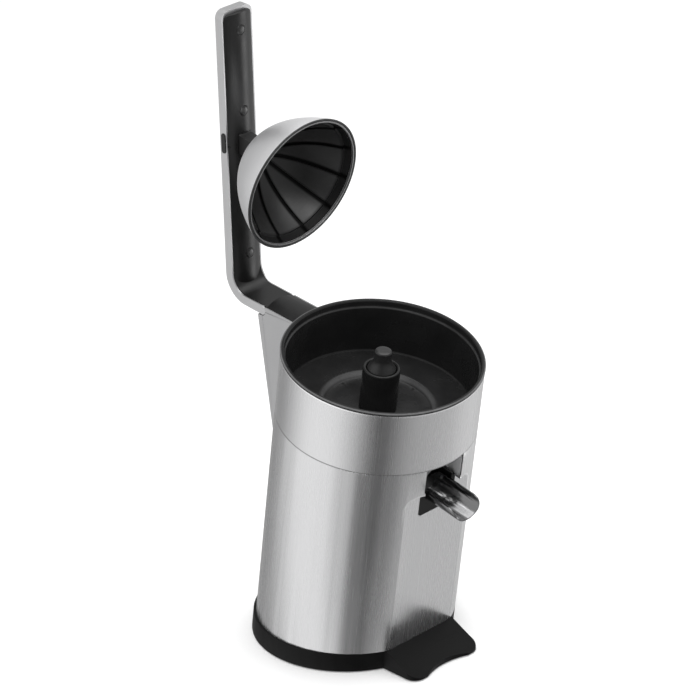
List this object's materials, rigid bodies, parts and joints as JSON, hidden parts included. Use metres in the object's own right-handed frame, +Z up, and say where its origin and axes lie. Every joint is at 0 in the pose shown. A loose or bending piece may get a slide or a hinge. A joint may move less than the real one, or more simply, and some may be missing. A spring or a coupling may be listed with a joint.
{
  "type": "citrus press juicer",
  "caption": "Electric lever citrus press: leaning steel drum, black juice bowl with drive spindle, half-round spout, foot plate, and a raised hinged lever carrying a lined press dome.",
  "frame": {"origin": "on the table, under the middle of the whole outline at rest", "axes": "+Z up, -Y the way the spout points, +X to the right of someone facing along +Y"},
  "size_m": [0.1674, 0.2563, 0.5268],
  "materials": {
    "black_gloss": "semi-gloss black",
    "black_satin": "satin black moulding",
    "bronze": "sintered bronze",
    "dome_satin": "satin silver",
    "grey_plastic": "charcoal moulding",
    "rubber_black": "soft black rubber",
    "silver_satin": "satin silver",
    "steel_drum": "vertically brushed stainless sheet",
    "steel_plain": "bright turned steel",
    "steel_polished": "polished stainless",
    "white_plastic": "natural nylon"
  },
  "bodies": {
    "body": {"base": "black_satin", "feet": "rubber_black", "base_screws": "steel_plain", "cord_gland": "rubber_black", "body_shell": "steel_drum", "spout_bay": "steel_polished", "chassis": "grey_plastic", "deck_screws": "steel_plain", "motor_plate": "steel_plain", "motor_can": "steel_plain", "lower_bush": "bronze", "upper_bush": "bronze", "shaft_seal": "rubber_black", "column": "silver_satin", "column_screws": "steel_plain", "hinge_bracket": "black_satin", "hinge_cover": "black_satin", "hinge_pin": "steel_plain", "microswitch": "grey_plastic"},
    "collector": {"juice_bowl": "black_gloss", "collector_band": "steel_drum", "chute": "black_gloss", "spout_pins": "steel_plain"},
    "spout_body": {"spout": "steel_polished"},
    "lever": {"arm_shell": "silver_satin", "arm_liner": "black_satin", "arm_knuckle": "black_satin", "knuckle_screws": "steel_plain", "liner_plugs": "black_gloss", "dome_axle": "steel_plain", "button_spring": "steel_plain"},
    "button": {"release_button": "black_satin"},
    "dome": {"dome_socket": "black_satin", "dome_shell": "dome_satin", "dome_liner": "black_gloss", "dome_screw": "steel_plain"},
    "drive": {"spindle": "steel_plain", "spindle_cap": "grey_plastic", "drive_gear": "white_plastic"},
    "rotor": {"motor_shaft": "steel_plain", "pinion": "bronze", "motor_fan": "white_plastic"}
  },
  "joints": [
    {"name": "lever_hinge", "type": "hinge", "parent": "body", "child": "lever", "pos_m": [0, 0.08696, 0.2736], "axis": [1, 0, 0], "range_deg": [0, 78]},
    {"name": "dome_swivel", "type": "hinge", "parent": "lever", "child": "dome", "pos_m": [0, 0.11716, 0.4096], "axis": [1, 0, 0], "range_deg": [-4, 12]},
    {"name": "release_press", "type": "slide", "parent": "lever", "child": "button", "axis": [1, 0, 0], "range_m": [0, 0.002], "stiffness_N_per_m": 500, "deforming": ["button_spring"]},
    {"name": "collector_seat", "type": "slide", "parent": "body", "child": "collector", "axis": [0, 0.2019, -0.9794], "range_m": [-0.1, 0]},
    {"name": "spout_tilt", "type": "hinge", "parent": "collector", "child": "spout_body", "pos_m": [0, -0.08574, 0.16639], "axis": [-1, 0, 0], "range_deg": [0, 15]},
    {"name": "spindle_spin", "type": "hinge", "parent": "body", "child": "drive", "pos_m": [0, -0.02443, 0.19588], "axis": [0, -0.2019, 0.9794], "continuous": true},
    {"name": "motor_spin", "type": "hinge", "parent": "body", "child": "rotor", "pos_m": [0, 0.02387, 0.15479], "axis": [0, -0.2019, 0.9794], "continuous": true}
  ],
  "couplings": [
    {"joint": "motor_spin", "follows": "spindle_spin", "ratio": -3.3333}
  ]
}
